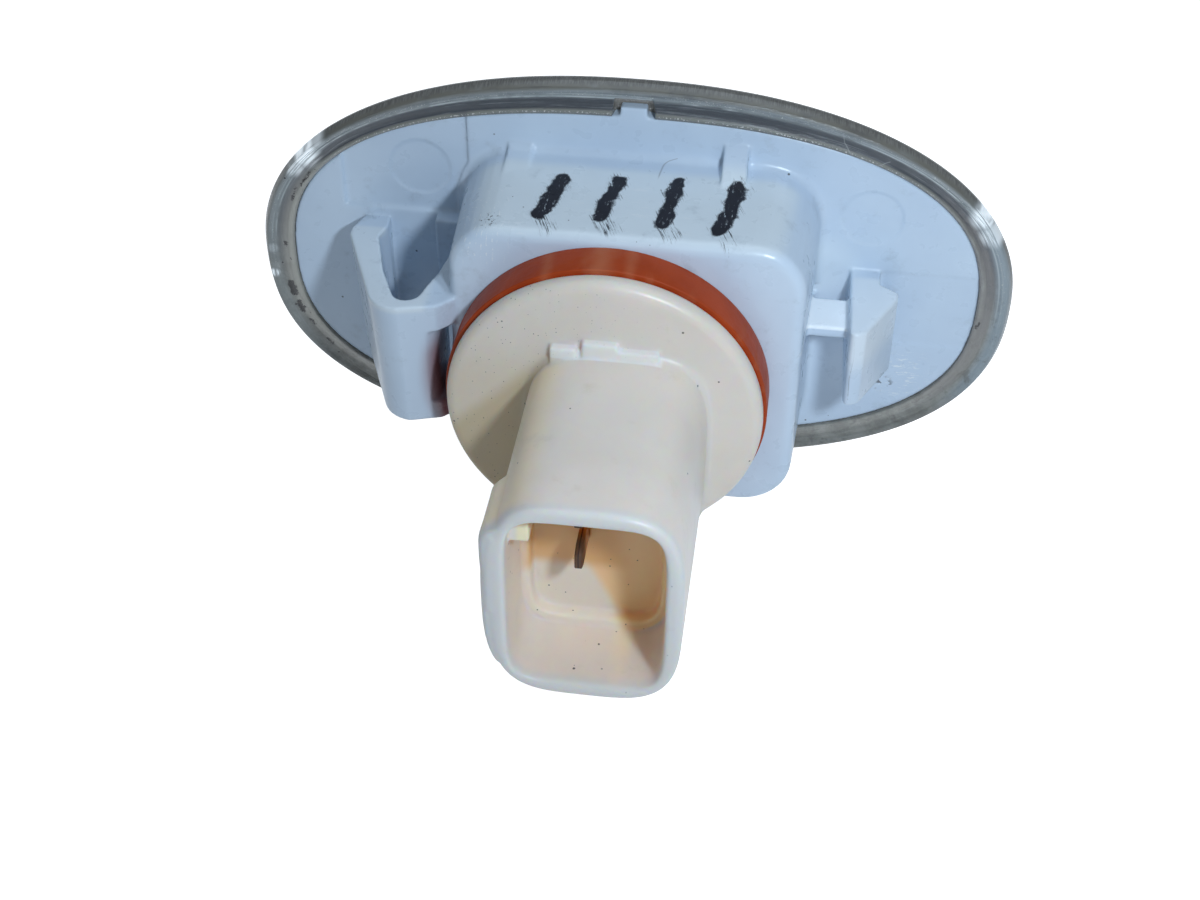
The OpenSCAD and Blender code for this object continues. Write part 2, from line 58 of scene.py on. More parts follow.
class Wire:
    """A number, colour or vector that varies over a surface."""

    def __init__(self, finish, socket):
        self.finish = finish
        self.socket = socket

    def math(self, operation, *others):
        values = dict(enumerate((self,) + others))
        return self.finish.node("ShaderNodeMath", {"operation": operation}, values)

    def __add__(self, other):
        return self.math("ADD", other)

    def __sub__(self, other):
        return self.math("SUBTRACT", other)

    def __rsub__(self, other):
        return (-self).math("ADD", other)

    def __mul__(self, other):
        return self.math("MULTIPLY", other)

    def __truediv__(self, other):
        return self.math("DIVIDE", other)

    def __pow__(self, other):
        return self.math("POWER", other)

    def __neg__(self):
        return self * -1.0

    __radd__ = __add__
    __rmul__ = __mul__

    def either(self, other):
        """The larger of two values, so a place that either mask covers is covered."""
        return self.math("MAXIMUM", other)

    def size(self):
        return self.math("ABSOLUTE")

    def root(self):
        return self.math("SQRT")

    def fade(self, low, high):
        """0 at low, 1 at high, smooth between them."""
        settings = {"interpolation_type": "SMOOTHSTEP", "clamp": True}
        return self.finish.node("ShaderNodeMapRange", settings,
                                {"Value": self, "From Min": low, "From Max": high})


class Finish:
    """A material, built from expressions on wires."""

    def __init__(self, name, **uniform):
        self.material = bpy.data.materials.new(name)
        self.material.use_nodes = True
        self.tree = self.material.node_tree
        self.shader = self.tree.nodes["Principled BSDF"]
        for key, value in uniform.items():
            self.shader.inputs[key.replace("_", " ")].default_value = value
        self.place = self.node("ShaderNodeTexCoord", out="Object")
        parts = self.tree.nodes.new("ShaderNodeSeparateXYZ")
        self.tree.links.new(self.place.socket, parts.inputs[0])
        self.x, self.y, self.z = [Wire(self, parts.outputs[i]) / MM for i in range(3)]

    def node(self, kind, settings=None, sockets=None, out=0):
        made = self.tree.nodes.new(kind)
        for key, value in (settings or {}).items():
            if key == "stops":
                ramp = made.color_ramp.elements
                while len(ramp) < len(value):
                    ramp.new(0.5)
                for stop, (where, colour) in zip(ramp, value):
                    stop.position = where
                    stop.color = colour
            else:
                setattr(made, key, value)
        for key, value in (sockets or {}).items():
            if isinstance(value, Wire):
                self.tree.links.new(value.socket, made.inputs[key])
            else:
                made.inputs[key].default_value = value
        return Wire(self, made.outputs[out])

    def noise(self, scale, detail=2.0, rough=0.5, where=None, stretch=None):
        """Noise from 0 to 1, with scale in lumps for each millimetre."""
        where = where or self.place
        if stretch:
            where = self.node("ShaderNodeVectorMath", {"operation": "MULTIPLY"}, {0: where, 1: stretch})
        return self.node("ShaderNodeTexNoise", None,
                         {"Vector": where, "Scale": scale / MM, "Detail": detail, "Roughness": rough})

    def cells(self, scale, where, out="Distance"):
        """Random cells, with scale in cells for each millimetre."""
        return self.node("ShaderNodeTexVoronoi", None, {"Vector": where, "Scale": scale / MM}, out)

    def mix(self, share, low, high):
        """Blend of two colours, low where share is 0 and high where it is 1."""
        return self.node("ShaderNodeMix", {"data_type": "RGBA"}, {0: share, 6: low, 7: high}, out=2)

    def bump(self, height, depth):
        """Relief of a height from 0 to 1, with its depth in millimetres."""
        return self.node("ShaderNodeBump", None, {"Height": height, "Distance": depth * MM, "Strength": 1.0})

    def set(self, name, wire):
        """Feed a socket of the shader."""
        self.tree.links.new(wire.socket, self.shader.inputs[name])

    def capsule(self, u, v, a, b, width):
        """Distance in millimetres from a thick stroke between two points."""
        du, dv = b[0] - a[0], b[1] - a[1]
        long = du * du + dv * dv
        along = ((u - a[0]) * du + (v - a[1]) * dv) / long
        along = along.math("MAXIMUM", 0.0).math("MINIMUM", 1.0)
        off_u = u - a[0] - along * du
        off_v = v - a[1] - along * dv
        return (off_u * off_u + off_v * off_v).root() - width


def grey(value):
    return (value, value, value, 1)


def joined(masks):
    """All of several masks in one."""
    whole = masks[0]
    for mask in masks[1:]:
        whole = whole.either(mask)
    return whole


# Finishes


def rim_share(f):
    """0 at the border of the housing's plate, 1 at the outer edge of the lens rim."""
    def reach(shape):
        power = f.z.math("GREATER_THAN", 0.0) * (shape.upper - shape.lower) + shape.lower
        across = (f.x.size() / shape.half_length) ** power
        high = (f.z.size() / shape.half_height) ** power
        return (across + high) ** (power ** -1.0)
    inner = (reach(PLATE) - 1.0).math("MAXIMUM", 0.0)
    outer = (1.0 - reach(RIM)).math("MAXIMUM", 0.0)
    return inner / (inner + outer + 0.0001)


def apart(u, v, place):
    """Distance from a place in the plane of u and v."""
    off_u, off_v = u - place[0], v - place[1]
    return (off_u * off_u + off_v * off_v).root()


def near(f, place, size):
    """1 round a place in the XZ plane, fading to 0 at the given distance from it."""
    return (size - apart(f.x, f.z, place)).fade(0.0, size * 0.65)


def within(f, middle, half_width, half_height, power):
    """Less than 1 inside a superellipse of the XZ plane, 1 on it and more outside it."""
    across, high = (f.x - middle[0]) / half_width, (f.z - middle[1]) / half_height
    return across ** power + high ** power


def drawn(f, u, v, points, width, soft):
    """Thin line through several points."""
    return joined([(-f.capsule(u, v, a, b, width)).fade(-soft, soft) for a, b in zip(points, points[1:])])


def specks(f, scale, share, size):
    """Grains of dirt: only a share of the cells hold one, and no two are alike."""
    ragged = f.node("ShaderNodeTexNoise", None, {"Vector": f.place, "Scale": 2.5 / MM}, "Color")
    warped = f.node("ShaderNodeVectorMath", {"operation": "MULTIPLY_ADD"},
                    {0: ragged, 1: (0.12 * MM,) * 3, 2: f.place})
    chosen = f.node("ShaderNodeSeparateColor", None, {"Color": f.cells(scale, warped, "Color")})
    reach = chosen * size + size * 0.3
    return (reach - f.cells(scale, warped)).fade(0.0, size * 0.5) * chosen.fade(1 - share, 1 - share + 0.05)


def ink(f):
    """Dry strokes of a black marker on top of the bulb box, dragged into hairs at their lower ends."""
    sway = f.noise(0.35, 2.0, 0.5) - 0.5
    wobble = f.noise(1.1, 3.0, 0.6) - 0.5
    shiver = f.noise(7.0, 3.0, 0.7) - 0.5
    u = f.x + sway * 1.6 + wobble * 0.6 + shiver * 0.35
    v = f.y + wobble * 0.8
    swell = f.noise(0.6, 2.0, 0.5) - 0.5
    grain = f.noise(1.0, 5.0, 0.75, stretch=(4.5, 0.9, 1.0))
    blotch = f.noise(0.9, 4.0, 0.7)
    lean = f.node("ShaderNodeCombineXYZ", None, {0: f.x * 6.0 + f.y * 2.6, 1: f.y * 0.28, 2: f.z})
    strands = f.node("ShaderNodeTexNoise", None,
                     {"Vector": lean, "Scale": 1.0, "Detail": 4.0, "Roughness": 0.7})
    worn = (grain + blotch * 0.5).fade(0.53, 0.66)
    marks = []
    for top, foot, width in MARKER_STROKES:
        core = f.capsule(u, v, top, foot, width) - swell * 0.9
        drag = f.capsule(u, v, foot, (foot[0] + 0.9, foot[1] - 1.5), width)
        marks.append((-core).fade(-0.12, 0.16) * worn)
        marks.append((-drag).fade(-0.35, 0.4) * strands.fade(0.53, 0.6))
        marks.append((-core).fade(-0.45, 0.0) * strands.fade(0.55, 0.62) * 0.85)
    scribble = (1.3 - apart(f.x, f.y, (-11.1, -10.4))).fade(0.0, 0.9)
    marks.append(scribble * f.noise(3.5, 3.0, 0.7).fade(0.56, 0.62))
    return joined(marks) * f.z.fade(BOX_TOP - 2.0, BOX_TOP - 1.0)


def scuffs(f):
    """Fine light scratches, curved ones on the box's left shoulder and straight ones by the catch."""
    reach = apart(f.x, f.y, (-15.5, -10.0))
    rings = (reach * 14.0 + f.noise(0.7, 2.0) * 6.0).math("SINE").fade(0.6, 0.95)
    shoulder = (3.2 - (reach - 4.0).size()).fade(0.0, 2.0) * f.z.fade(8.5, 10.5)
    broken = f.noise(1.6, 4.0, 0.7).fade(0.5, 0.62)
    marks = rings * shoulder * broken * 0.8
    streaks = f.noise(1.0, 5.0, 0.75, stretch=(0.8, 1.0, 5.0)).fade(0.56, 0.62)
    return marks.either(near(f, (26.0, -8.2), 3.6) * streaks)


def white_plastic():
    f = Finish("white_plastic", Roughness=0.3, IOR=1.49)
    cloud = f.noise(0.1, 3.0).fade(0.35, 0.7)
    colour = f.mix(cloud, (0.59, 0.69, 0.81, 1), (0.64, 0.74, 0.85, 1))
    depth = -f.y
    top = f.z.fade(BOX_TOP - 1.1, BOX_TOP) * depth.fade(1.0, 2.5)
    # Painted light: the box's top face is painted paler and greyer for the light that falls on it from above;
    # the same top mask also places the wear and dirt below.
    colour = f.mix(top * 0.8, colour, (0.74, 0.81, 0.85, 1))
    clip_top = f.z.fade(4.3, 4.9) * (-f.x).fade(16.0, 17.0) * depth.fade(1.6, 2.2)
    # Painted light: the clip's top is painted paler for the light that falls on it from above.
    colour = f.mix(clip_top * 0.8, colour, (0.76, 0.83, 0.88, 1))
    smudge = f.noise(0.35, 5.0, 0.65).fade(0.56, 0.75)
    colour = f.mix(smudge * 0.35, colour, (0.38, 0.44, 0.5, 1))
    rubbed = f.noise(0.8, 5.0, 0.7, stretch=(0.5, 2.2, 1.0)).fade(0.6, 0.68) * top
    colour = f.mix(rubbed * 0.55, colour, (0.78, 0.83, 0.87, 1))
    colour = f.mix(scuffs(f), colour, (0.86, 0.9, 0.93, 1))
    dirt = specks(f, 0.5, 0.25, 0.055).either(specks(f, 0.95, 0.35, 0.06) * top)
    dirt = dirt.either(near(f, (24.6, -9.6), 1.2) * f.noise(1.6, 3.0, 0.6).fade(0.55, 0.62))
    colour = f.mix(dirt * 0.85, colour, (0.06, 0.06, 0.07, 1))
    hair = drawn(f, f.x, f.z, HAIR_ON_PLATE, 0.01, 0.05) * depth.fade(3.0, 2.0)
    crack = drawn(f, f.x, f.z, CRACK_ON_CATCH, 0.02, 0.05) * depth.fade(8.6, 9.0)
    crack = crack * f.noise(1.5, 3.0).fade(0.35, 0.5)
    colour = f.mix(hair.either(crack) * 0.8, colour, (0.1, 0.1, 0.12, 1))
    # Painted light: the plate between the box and the catch, above the web, is painted paler where light
    # falls on it.
    pocket_light = near(f, (17.8, 3.2), 4.4) * depth.fade(1.4, 0.6)
    colour = f.mix(pocket_light * 0.4, colour, (0.9, 0.97, 1.0, 1))
    # Painted light: the upper part of the catch is painted paler for the light that falls on it.
    catch = f.x.fade(20.2, 20.8) * depth.fade(0.6, 1.6) * f.z.fade(-2.0, 1.0)
    colour = f.mix(catch * 0.8, colour, (0.8, 0.86, 0.91, 1))
    # Painted highlight: the top of the web is painted near white for the light it catches from above.
    web = (f.x - 18.4).size().fade(2.3, 1.7) * (f.z - 1.75).size().fade(0.3, 0.15)
    colour = f.mix(web * depth.fade(2.2, 2.8), colour, (0.93, 0.97, 1.0, 1))
    # Painted shadow: the housing left of the gasket, in the shade of the gasket and flange, is painted dark
    # red-brown, with the red of light through the rubber.
    gasket_shadow = apart(f.x, f.z, BULB_AXIS).fade(17.4, 15.4) * (-f.x).fade(9.0, 12.0)
    gasket_shadow = gasket_shadow * f.z.fade(2.6, -0.4) * depth.fade(8.0, 10.0)
    colour = f.mix(gasket_shadow * 0.9, colour, (0.26, 0.12, 0.13, 1))
    marks = ink(f)
    tone = f.mix(f.noise(1.6, 3.0), (0.001, 0.0015, 0.005, 1), (0.009, 0.01, 0.024, 1))
    colour = f.mix(marks, colour, tone)
    f.set("Base Color", colour)
    f.set("Roughness", f.noise(0.5, 3.0) * 0.14 + 0.22 + rubbed * 0.2 + marks * 0.3)
    f.set("Normal", f.bump(f.noise(0.35, 2.0) * 0.6 + f.noise(4.0, 2.0) * 0.03, 0.12))
    return f.material


def cream_plastic():
    f = Finish("cream_plastic", Roughness=0.4, IOR=1.5, Subsurface_Weight=0.5, Subsurface_Scale=0.002)
    f.shader.inputs["Subsurface Radius"].default_value = (1.0, 0.42, 0.14)
    cloud = f.noise(0.14, 3.0).fade(0.3, 0.7)
    colour = f.mix(cloud, (0.77, 0.68, 0.59, 1), (0.81, 0.72, 0.64, 1))
    depth = -f.y
    # Painted sheen: the socket's lip is painted grey-blue for the cool light its gloss reflects.
    lip = depth.fade(MOUTH - 1.6, MOUTH - 0.2)
    colour = f.mix(lip * 0.7, colour, (0.66, 0.68, 0.68, 1))
    behind_flange = depth - FLANGE_REAR
    # Painted highlight: the small pads on the shroud's top, just behind the flange, are painted paler where
    # light falls on them.
    pad_highlight = behind_flange.fade(0.1, 0.25) * behind_flange.fade(1.2, 1.0)
    pad_highlight = pad_highlight * (f.z - 5.05).size().fade(1.0, 0.8) * (f.x + 0.1).size().fade(5.1, 4.8)
    colour = f.mix(pad_highlight * 0.7, colour, (0.9, 0.87, 0.84, 1))
    inside = (1.0 - within(f, SOCKET_MIDDLE, 6.6, 9.0, 4.0)).fade(0.0, 0.12) * depth.fade(26.0, 28.0)
    # Painted shade: the socket's inside is tinted warm, most of all on its side away from the key light, for
    # the orange glow of light through the moulding in its shade.
    shaded_side = (f.x * 0.958 + f.z * 0.285).fade(-2.2, 0.0)
    shaded_side = shaded_side.either(f.z.fade(-8.6, -6.6) * f.x.fade(-5.0, -4.4))
    warm_shade = f.mix(shaded_side, (0.85, 0.74, 0.63, 1), (1.0, 0.82, 0.53, 1))
    colour = f.mix(inside * depth.fade(36.8, 33.0).either(shaded_side * 0.8), colour, warm_shade)
    # Painted shadow: the flange left of the shroud is tinted darker and brown, most of all where the shroud's
    # shadow falls on it.
    flange_shade = (-f.x).fade(4.0, 7.0) * behind_flange.fade(1.2, 0.6) * f.z.fade(6.0, 0.0)
    colour = f.mix(flange_shade * 0.5, colour, (0.7, 0.58, 0.41, 1))
    shroud_shadow = ((f.x + 4.94) * 0.689 - (f.z - 3.15) * 0.725).fade(-1.3, 0.5)
    shroud_shadow = shroud_shadow * (-f.x).fade(3.6, 5.2) * behind_flange.fade(1.0, 0.5)
    colour = f.mix(shroud_shadow * 0.9, colour, (0.58, 0.46, 0.29, 1))
    # Painted light: the shroud's outer left side, in shade, is painted warmer and paler for the glow of light
    # through its wall.
    shell = within(f, SOCKET_MIDDLE, 6.9, 9.35, 6.0).fade(0.8, 1.05)
    shaded_left_side = (-f.x).fade(2.6, 5.4) * depth.fade(17.9, 19.0) * depth.fade(36.8, 35.4)
    colour = f.mix(shaded_left_side * shell * 0.9, colour, (0.94, 0.77, 0.54, 1))
    # Painted shadow: the socket's back wall is painted orange-brown where the shadows of the mouth's right
    # side and roof fall on it.
    back_wall = inside * depth.fade(31.4, 30.2)
    right_wall_shadow = ((f.x - 0.1) * 0.887 + (f.z + 8.4) * 0.462).fade(-0.5, 0.6)
    colour = f.mix(right_wall_shadow * back_wall * 0.8, colour, (0.93, 0.57, 0.27, 1))
    roof_shadow = f.z.fade(-9.4, -7.9) * f.x.fade(4.6, 1.6)
    colour = f.mix(roof_shadow * back_wall * 0.85, colour, (0.78, 0.42, 0.16, 1))
    smudge = f.noise(0.3, 5.0, 0.65).fade(0.58, 0.78)
    colour = f.mix(smudge * 0.3, colour, (0.55, 0.47, 0.35, 1))
    dirt = specks(f, 2.6, 0.6, 0.13) * (-f.x).fade(-6.0, 9.0) * depth.fade(19.5, 18.5)
    dirt = dirt.either(specks(f, 0.6, 0.45, 0.07)).either(specks(f, 1.3, 0.4, 0.1) * inside)
    colour = f.mix(dirt * 0.9, colour, (0.05, 0.045, 0.04, 1))
    f.set("Base Color", colour)
    f.set("Roughness", f.noise(0.5, 3.0) * 0.14 + 0.3)
    f.set("Normal", f.bump(f.noise(0.3, 2.0) * 0.6 + f.noise(5.0, 2.0) * 0.04, 0.1))
    return f.material


def orange_rubber():
    f = Finish("orange_rubber", Roughness=0.55, IOR=1.4, Specular_IOR_Level=0.25)
    colour = f.mix(f.noise(0.3, 3.0).fade(0.3, 0.7), (0.36, 0.044, 0.007, 1), (0.42, 0.056, 0.01, 1))
    ripple = f.noise(0.5, 2.0) - 0.5
    sheen = joined([(width - (f.x + ripple - place).size()).fade(-0.2, width) * strength
                    for place, width, strength in ((-5.6, 0.7, 0.5), (-0.9, 1.5, 0.8), (1.6, 0.6, 0.5))])
    colour = f.mix(sheen * f.z.fade(6.0, 10.0) * 0.45, colour, (0.62, 0.24, 0.12, 1))
    dust = f.noise(0.6, 4.0, 0.6, stretch=(1.0, 0.25, 1.0)).fade(0.52, 0.72)
    colour = f.mix(dust * 0.18, colour, (0.5, 0.22, 0.12, 1))
    f.set("Base Color", colour)
    f.set("Roughness", dust * 0.2 + 0.45)
    f.set("Normal", f.bump(f.noise(1.2, 3.0), 0.05))
    return f.material


def copper_alloy():
    f = Finish("copper_alloy", Roughness=0.3, Metallic=1.0)
    colour = f.mix(f.noise(0.6, 3.0).fade(0.3, 0.7), (0.5, 0.2, 0.07, 1), (0.66, 0.3, 0.12, 1))
    burnt = (f.noise(0.8, 3.0) * 0.8 - 0.4 - f.y).fade(30.9, 32.6)
    colour = f.mix(burnt * 0.9, colour, (0.05, 0.024, 0.014, 1))
    seam = 1.0 - (f.x - BLADE_X).size().fade(0.03, 0.08)
    colour = f.mix(seam * 0.7, colour, (0.01, 0.007, 0.006, 1))
    f.set("Base Color", colour)
    f.set("Roughness", burnt * 0.3 + 0.28)
    f.set("Metallic", 1.0 - burnt * 0.7)
    f.set("Normal", f.bump(f.noise(3.0, 3.0, stretch=(1.0, 0.25, 1.0)), 0.02))
    return f.material


def amber_glass():
    f = Finish("amber_glass", Roughness=0.03, IOR=1.5, Transmission_Weight=1.0)
    f.set("Base Color", f.mix(f.noise(0.3, 3.0), (1.0, 0.42, 0.03, 1), (1.0, 0.48, 0.05, 1)))
    f.set("Roughness", f.noise(0.6, 3.0) * 0.06 + 0.02)
    return f.material


def bulb_wire():
    f = Finish("bulb_wire", Roughness=0.35, Metallic=1.0)
    f.set("Base Color", f.mix(f.noise(2.0), grey(0.5), grey(0.62)))
    f.set("Roughness", f.noise(1.5, 3.0) * 0.2 + 0.25)
    return f.material


def clear_acrylic(name):
    f = Finish(name, Roughness=0.04, IOR=1.49, Transmission_Weight=1.0)
    f.set("Base Color", f.mix(f.noise(0.2, 3.0), (0.93, 0.95, 0.96, 1), (0.97, 0.98, 0.99, 1)))
    f.set("Roughness", f.noise(0.7, 3.0) * 0.04 + 0.02)
    return f.material


def clear_lens():
    return clear_acrylic("clear_lens")


def fluted_lens():
    return clear_acrylic("fluted_lens")


def rim_lens():
    """The lens rim, seen edge-on through many reflections, so it looks grey and milky: its grey bands and
    streaks are painted reflections, its light lines, bright dots, end sheens and glints are painted
    highlights, and its blots, specks and hair are dirt.
    """
    f = Finish("rim_lens", Roughness=0.2, IOR=1.49, Transmission_Weight=0.25)
    share = rim_share(f)
    upper = f.z.fade(-6.0, 7.0)
    bands = ((0.0, (0.13, 0.13, 0.13, 1)), (0.03, (0.2, 0.2, 0.19, 1)), (0.08, (0.3, 0.3, 0.27, 1)),
             (0.18, (0.26, 0.26, 0.23, 1)), (0.25, (0.065, 0.072, 0.085, 1)), (0.58, (0.07, 0.078, 0.09, 1)),
             (0.7, (0.33, 0.36, 0.36, 1)), (0.86, (0.36, 0.38, 0.38, 1)), (0.98, (0.24, 0.225, 0.19, 1)))
    high = f.node("ShaderNodeValToRGB", {"stops": bands}, {"Fac": share})
    mottle = f.noise(0.45, 5.0, 0.7)
    low = f.mix(mottle.fade(0.35, 0.65), (0.21, 0.205, 0.18, 1), (0.33, 0.325, 0.29, 1))
    low = f.mix(share.fade(0.1, 0.0) * 0.3, low, (0.11, 0.11, 0.1, 1))
    colour = f.mix(upper, low, high)
    along = f.node("ShaderNodeCombineXYZ", None, {0: f.x * 0.06, 1: share * 5.0, 2: f.z * 0.06})
    lines = f.node("ShaderNodeTexNoise", None,
                   {"Vector": along, "Scale": 1.6, "Detail": 5.0, "Roughness": 0.75})
    strong = upper * 0.3 + 0.25
    colour = f.mix(lines.fade(0.52, 0.7) * strong, colour, (0.42, 0.45, 0.46, 1))
    colour = f.mix((1.0 - lines.fade(0.3, 0.48)) * strong, colour, (0.08, 0.08, 0.085, 1))
    colour = f.mix(f.noise(0.28, 4.0, 0.6).fade(0.5, 0.72) * upper * 0.4, colour, (0.09, 0.1, 0.12, 1))
    # Painted sheen: a light blue-grey reflection along the outer edge of the rim's right end.
    right_end_sheen = f.x.fade(29.0, 33.5) * share.fade(0.45, 0.75)
    colour = f.mix(right_end_sheen * 0.65, colour, (0.42, 0.5, 0.55, 1))
    right_inner = f.x.fade(26.0, 31.5) * share.fade(0.55, 0.4)
    colour = f.mix(right_inner * mottle.fade(0.3, 0.6) * 0.8, colour, (0.16, 0.15, 0.145, 1))
    blotch = f.noise(0.55, 4.0, 0.7).fade(0.54, 0.66) * (1.0 - upper)
    colour = f.mix(blotch * 0.5, colour, (0.12, 0.115, 0.1, 1))
    # Painted light: the left end of the rim is painted paler, its inner half beige-grey and its outer half
    # blue-grey, for the light it catches there.
    left_end_sheen = (-f.x).fade(27.0, 32.0)
    colour = f.mix(left_end_sheen * share.fade(0.6, 0.15) * 0.55, colour, (0.36, 0.35, 0.3, 1))
    colour = f.mix(left_end_sheen * share.fade(0.4, 0.7) * 0.35, colour, (0.42, 0.45, 0.45, 1))
    shoulder = f.y.fade(0.25, 0.7)
    strokes = f.noise(1.0, 4.0, 0.7, stretch=(9.0, 0.8, 1.6))
    brown = f.mix(strokes.fade(0.38, 0.66), (0.19, 0.18, 0.16, 1), (0.3, 0.285, 0.26, 1))
    colour = f.mix(shoulder * (upper * 0.85 + 0.15), colour, brown)
    # Painted highlights: bright dots along the inner bead, two broken light lines across the rim and bright
    # sparkles near its outer edge.
    bead = (share - 0.1).size().fade(0.05, 0.015) * f.x.size().fade(29.0, 24.0)
    dots = f.noise(5.0, 2.0, 0.5).fade(0.54, 0.62)
    colour = f.mix(bead * dots * upper, colour, (0.95, 0.93, 0.85, 1))
    line = (share - 0.66).size().fade(0.035, 0.01).either((share - 0.78).size().fade(0.03, 0.01) * 0.7)
    broken = f.noise(0.25, 3.0, 0.6).fade(0.42, 0.55)
    colour = f.mix(line * broken * upper * 0.8, colour, (0.6, 0.64, 0.64, 1))
    sparkle = (share - 0.8).size().fade(0.14, 0.02) * f.noise(7.0, 2.0, 0.5).fade(0.62, 0.7)
    colour = f.mix(sparkle * upper, colour, (0.85, 0.85, 0.75, 1))
    glow = joined([near(f, place, size) * strength for place, size, strength in RIM_GLINTS])
    fan = glow * (lines.fade(0.4, 0.53) * 0.8 + 0.2)
    colour = f.mix(fan, colour, (0.93, 0.98, 1.0, 1))
    arc = drawn(f, f.x, f.z, HAIR_ON_RIM, 0.02, 0.06)
    colour = f.mix(arc * 0.7, colour, (0.5, 0.52, 0.52, 1))
    blots = f.noise(3.2, 4.0, 0.75) - 0.5
    dirt = [(-(f.capsule(f.x, f.z, a, b, width) + blots * 1.1)).fade(-0.03, 0.08) for a, b, width in RIM_DIRT]
    dirt.append(specks(f, 0.9, 0.4, 0.1) * ((-f.x).fade(24.0, 29.0) * 0.9 + 0.1))
    colour = f.mix(joined(dirt) * 0.95, colour, (0.012, 0.011, 0.013, 1))
    f.set("Base Color", colour)
    f.shader.inputs["Emission Strength"].default_value = 0.55
    f.material.cycles.emission_sampling = "NONE"
    f.set("Emission Color", f.mix(fan * fan, grey(0.0), (0.86, 0.94, 1.0, 1)))
    f.set("Roughness", f.noise(0.7, 3.0) * 0.15 + 0.12)
    f.set("Normal", f.bump(lines * 0.8 + mottle * 0.3 + dots * bead * 0.4, 0.1))
    return f.material


# Sizes that the finishes and the pieces share, in millimetres


class Oval:
    """A superellipse in the XZ plane, with its own squareness above and below."""

    def __init__(self, half_length, half_height, upper, lower):
        self.half_length = half_length
        self.half_height = half_height
        self.upper = upper
        self.lower = lower

    def point(self, angle, inset=0.0, scale=1.0):
        c, s = math.cos(angle), math.sin(angle)
        share = 2 / (self.upper if s >= 0 else self.lower)
        return (math.copysign(abs(c) ** share, c) * (self.half_length - inset) * scale,
                math.copysign(abs(s) ** share, s) * (self.half_height - inset) * scale)


PLATE = Oval(32.25, 17.4, 2.45, 2.45)
RIM = Oval(34.95, 20.1, 2.22, 2.4)
LENS = Oval(35.25, 20.4, 2.22, 2.4)
BOX_TOP = 12.6
FLANGE_REAR = 17.2
MOUTH = 37.6
SHROUD = Oval(7.95, 10.35, 3.7, 3.7)
BULB_AXIS = (-0.3, -2.5)
BLADE_X = -0.05
SOCKET_MIDDLE = (1.0, -5.9)
RIM_GLINTS = (((-30.6, 11.3), 2.3, 1.0), ((-31.5, 9.7), 1.5, 0.75), ((-29.4, 12.7), 1.5, 0.6),
              ((31.7, 10.0), 1.9, 1.0), ((32.6, 8.2), 1.8, 0.7), ((-34.5, -2.4), 0.65, 1.0),
              ((-34.4, 0.4), 0.7, 0.3))
RIM_DIRT = (((-29.9, 9.0), (-30.9, 7.8), 0.1), ((-31.4, 7.4), (-32.0, 5.9), 0.08),
            ((-33.1, 1.0), (-33.12, 0.8), 0.2), ((-32.8, -0.6), (-32.8, -0.7), 0.08),
            ((-33.0, -3.5), (-32.8, -4.7), 0.36), ((-32.5, -5.8), (-32.2, -6.7), 0.28),
            ((-32.9, -6.0), (-31.9, -6.3), 0.1), ((-31.5, -7.8), (-31.2, -8.3), 0.14),
            ((-30.0, -10.0), (-29.5, -10.5), 0.12), ((32.4, -2.0), (32.6, -1.5), 0.12))
HAIR_ON_RIM = ((18.3, 17.4), (18.5, 16.4), (19.2, 15.3), (20.3, 14.6), (21.5, 14.4), (22.6, 14.8))
HAIR_ON_PLATE = ((2.0, 12.4), (2.6, 13.1), (3.3, 13.4), (4.0, 13.6))
CRACK_ON_CATCH = ((21.0, 2.6), (21.1, 0.5), (20.9, -1.6), (21.0, -4.0))
MARKER_STROKES = (((-6.1, -3.8), (-6.8, -9.3), 0.78), ((-0.8, -3.4), (-1.7, -9.0), 0.8),
                  ((4.4, -3.2), (3.6, -9.2), 0.72), ((9.6, -3.4), (8.9, -9.5), 0.8))

FINISHES = {make.__name__: make() for make in
            (white_plastic, cream_plastic, orange_rubber, copper_alloy, amber_glass, bulb_wire,
             clear_lens, rim_lens, fluted_lens)}

# Pieces

ROUNDING_GRID = 0.14
ROUNDING_STEPS = 8


def placed(name, mesh, body, slot, *stands_for, finishes=None):
    """A piece of the lamp that rides on a body and may stand for CAD nodes."""
    obj = bpy.data.objects.new(name, mesh)
    bpy.context.scene.collection.objects.link(obj)
    mesh.materials.clear()
    for finish in finishes or (slot,):
        mesh.materials.append(FINISHES[finish])
    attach(obj, body)
    if stands_for:
        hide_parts(*stands_for)
    return obj


def solid(*rings):
    """Closed bmesh in millimetres, over rings of points and closed at both ends."""
    points, faces = skinned([list(ring) for ring in rings], closed_start=True, closed_end=True)
    work = bmesh.new()
    corners = [work.verts.new(p) for p in points]
    for face in faces:
        work.faces.new([corners[i] for i in face])
    bmesh.ops.recalc_face_normals(work, faces=work.faces)
    return work


def prism(outline, low, high):
    """Upright solid over an outline of X and depth, between two heights."""
    return solid(*[[[x, -depth, z] for x, depth in outline] for z in (low, high)])


def block(low, high):
    """Box between two corners of X, depth and Z."""
    outline = [(low[0], low[1]), (high[0], low[1]), (high[0], high[1]), (low[0], high[1])]
    return prism(outline, low[2], high[2])


